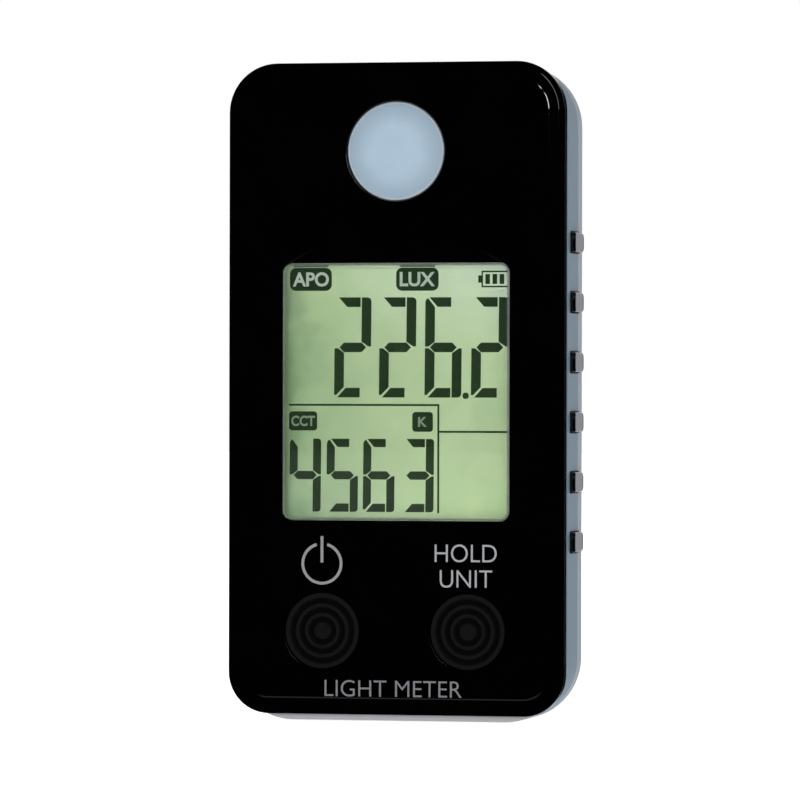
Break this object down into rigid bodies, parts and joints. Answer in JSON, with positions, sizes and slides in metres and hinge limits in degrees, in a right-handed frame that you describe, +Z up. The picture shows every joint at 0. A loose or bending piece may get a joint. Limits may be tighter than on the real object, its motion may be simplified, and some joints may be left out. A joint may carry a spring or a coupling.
{
  "type": "handheld light meter",
  "caption": "Slim handheld light meter: opal diffuser over a display window, round keys below, silver sides with grip ribs, hinged battery door behind.",
  "frame": {"origin": "centre of the bottom edge that the meter stands on, half way through its depth", "axes": "+Z up the meter from the keys to the diffuser, front face towards -Y, back towards +Y, +X to the right of someone facing the display"},
  "size_m": [0.0536, 0.015, 0.1],
  "materials": {
    "gloss_black": "high-gloss black moulding",
    "side_silver": "fine silver paint, satin",
    "rear_silver": "fine silver paint, satin",
    "grip_black": "glossy black grip moulding",
    "key_rubber": "matt dark silicone",
    "mat_rubber": "matt silicone",
    "clear_window": "polished clear acrylic",
    "opal_diffuser": "opal white, faintly blue",
    "lcd_glass": "green-grey reflective display",
    "lcd_reflector": "satin reflector film",
    "white_plastic": "moulded white",
    "dark_plastic": "moulded dark grey",
    "foam": "closed-cell foam",
    "board_green": "solder mask over glass fibre",
    "chip_black": "moulded epoxy",
    "ceramic": "fired ceramic",
    "filter_glass": "coated filter glass",
    "carbon": "printed carbon",
    "cell_steel": "nickel-plated steel",
    "screw_steel": "zinc-plated steel",
    "contact_steel": "plated spring steel",
    "label_film": "satin blank label film"
  },
  "bodies": {
    "case": {"front_cover": "gloss_black", "mid_frame": "side_silver", "rear_cover": "rear_silver", "grip_strip_left": "grip_black", "grip_strip_right": "grip_black", "window_lens": "clear_window", "dust_gasket": "foam", "lcd_glass": "lcd_glass", "lcd_reflector": "lcd_reflector", "lcd_tray": "white_plastic", "connector_strip": "dark_plastic", "diffuser": "opal_diffuser", "sensor_tube": "dark_plastic", "sensor_filter": "filter_glass", "light_sensor": "chip_black", "keypad_mat": "mat_rubber", "circuit_board": "board_green", "main_chip": "chip_black", "memory_chip": "chip_black", "amplifier_chip": "chip_black", "crystal": "cell_steel", "buzzer": "dark_plastic", "capacitor_1": "ceramic", "capacitor_2": "ceramic", "capacitor_3": "ceramic", "cell_holder": "dark_plastic", "coin_cell": "cell_steel", "negative_contact": "contact_steel", "positive_contact": "contact_steel", "rear_label": "label_film", "case_screw_1": "screw_steel", "case_screw_2": "screw_steel", "case_screw_3": "screw_steel", "case_screw_4": "screw_steel", "board_screw_1": "screw_steel", "board_screw_2": "screw_steel", "board_screw_3": "screw_steel"},
    "power_button": {"power_key": "key_rubber", "power_key_pill": "carbon"},
    "hold_button": {"hold_key": "key_rubber", "hold_key_pill": "carbon"},
    "battery_door": {"battery_door": "rear_silver"}
  },
  "joints": [
    {"name": "power_press", "type": "slide", "parent": "case", "child": "power_button", "axis": [0, 1, 0], "range_m": [0, 0.0008], "stiffness_N_per_m": 1200, "springref_m": -0.0003},
    {"name": "hold_press", "type": "slide", "parent": "case", "child": "hold_button", "axis": [0, 1, 0], "range_m": [0, 0.0008], "stiffness_N_per_m": 1200, "springref_m": -0.0003},
    {"name": "door_swing", "type": "hinge", "parent": "case", "child": "battery_door", "pos_m": [0, 0.0072, 0.0215], "axis": [-1, 0, 0], "range_deg": [0, 75]}
  ]
}
